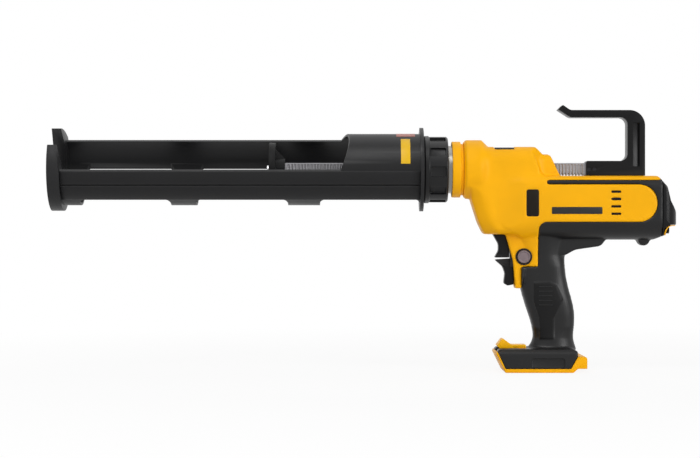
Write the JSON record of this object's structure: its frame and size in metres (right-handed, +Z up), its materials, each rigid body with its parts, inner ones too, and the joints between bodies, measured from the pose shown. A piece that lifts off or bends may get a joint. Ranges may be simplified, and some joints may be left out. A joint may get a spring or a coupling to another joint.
{
  "type": "cordless caulking tool",
  "caption": "Hand-held cordless caulking tool with a turning open-trough carriage, a toothed plunger rod with pull hook, a pistol grip with trigger and a battery foot.",
  "frame": {"origin": "middle of the foot's underside, where the tool stands", "axes": "+X to the rear along the plunger rod, nose towards -X; +Z up; the pictured side is -Y"},
  "size_m": [0.6834, 0.0918, 0.2916],
  "materials": {
    "yellow_plastic": "satin moulded glass-filled nylon",
    "black_rubber": "soft overmoulded grip, fine matt grain",
    "black_plastic": "satin black moulding",
    "dark_trim": "smooth dark insert",
    "grey_plastic": "pale grey button",
    "machined_aluminium": "turned",
    "bright_steel": "zinc plated",
    "dark_casting": "black coated casting",
    "brass_contact": "plain"
  },
  "bodies": {
    "tool": {"foot_tray": "yellow_plastic", "gearbox_case": "machined_aluminium", "grip_left": "black_rubber", "grip_right": "black_rubber", "housing_left": "yellow_plastic", "housing_right": "yellow_plastic", "housing_screws": "bright_steel", "latch_pin": "bright_steel", "lock_bezels": "dark_trim", "motor": "bright_steel", "nose_ring": "yellow_plastic", "nose_sleeve": "machined_aluminium", "rear_cap": "black_plastic", "rod_guide_front": "black_plastic", "rod_guide_rear": "black_plastic", "shaft_bushes": "brass_contact", "side_pad_left": "dark_trim", "side_pad_right": "dark_trim", "switch_module": "black_plastic", "terminal_blades": "brass_contact", "terminal_block": "black_plastic", "top_insert": "dark_trim"},
    "carriage": {"carriage": "black_plastic"},
    "collar": {"collar_nut": "black_plastic"},
    "rod": {"rack_rod": "bright_steel", "piston_plate": "dark_casting", "piston_screw": "bright_steel", "pull_hook": "black_plastic", "hook_pins": "bright_steel"},
    "pinion": {"drive_pinion": "bright_steel", "pinion_shaft": "bright_steel"},
    "trigger": {"trigger_upper": "black_plastic", "trigger_lower": "black_plastic", "trigger_carrier": "black_plastic", "switch_plunger": "black_plastic"},
    "lock": {"lock_button": "grey_plastic"},
    "latch": {"latch_tab": "yellow_plastic"},
    "dial": {"speed_dial": "dark_trim"}
  },
  "joints": [
    {"name": "carriage_turn", "type": "hinge", "parent": "tool", "child": "carriage", "pos_m": [-0.33, 0, 0.2213], "axis": [1, 0, 0], "continuous": true},
    {"name": "collar_turn", "type": "hinge", "parent": "tool", "child": "collar", "pos_m": [-0.114, 0, 0.2213], "axis": [1, 0, 0], "continuous": true},
    {"name": "rod_slide", "type": "slide", "parent": "tool", "child": "rod", "axis": [1, 0, 0], "range_m": [-0.028, 0.145]},
    {"name": "pinion_spin", "type": "hinge", "parent": "tool", "child": "pinion", "pos_m": [-0.02135, 0, 0.20545], "axis": [0, 1, 0], "range_deg": [-160, 810]},
    {"name": "trigger_pull", "type": "slide", "parent": "tool", "child": "trigger", "axis": [1, 0, 0], "range_m": [0, 0.006], "stiffness_N_per_m": 800, "springref_m": -0.004},
    {"name": "lock_push", "type": "slide", "parent": "tool", "child": "lock", "axis": [0, 1, 0], "range_m": [0, 0.003]},
    {"name": "latch_press", "type": "hinge", "parent": "tool", "child": "latch", "pos_m": [-0.019, 0, 0.0245], "axis": [0, -1, 0], "range_deg": [0, 4], "stiffness_Nm_per_rad": 0.3, "springref_deg": -11.46},
    {"name": "dial_turn", "type": "hinge", "parent": "tool", "child": "dial", "pos_m": [0.135, 0, 0.1553], "axis": [1, 0, 0], "range_deg": [0, 270]}
  ],
  "couplings": [
    {"joint": "pinion_spin", "follows": "rod_slide", "rad_per_m": 96.618}
  ]
}
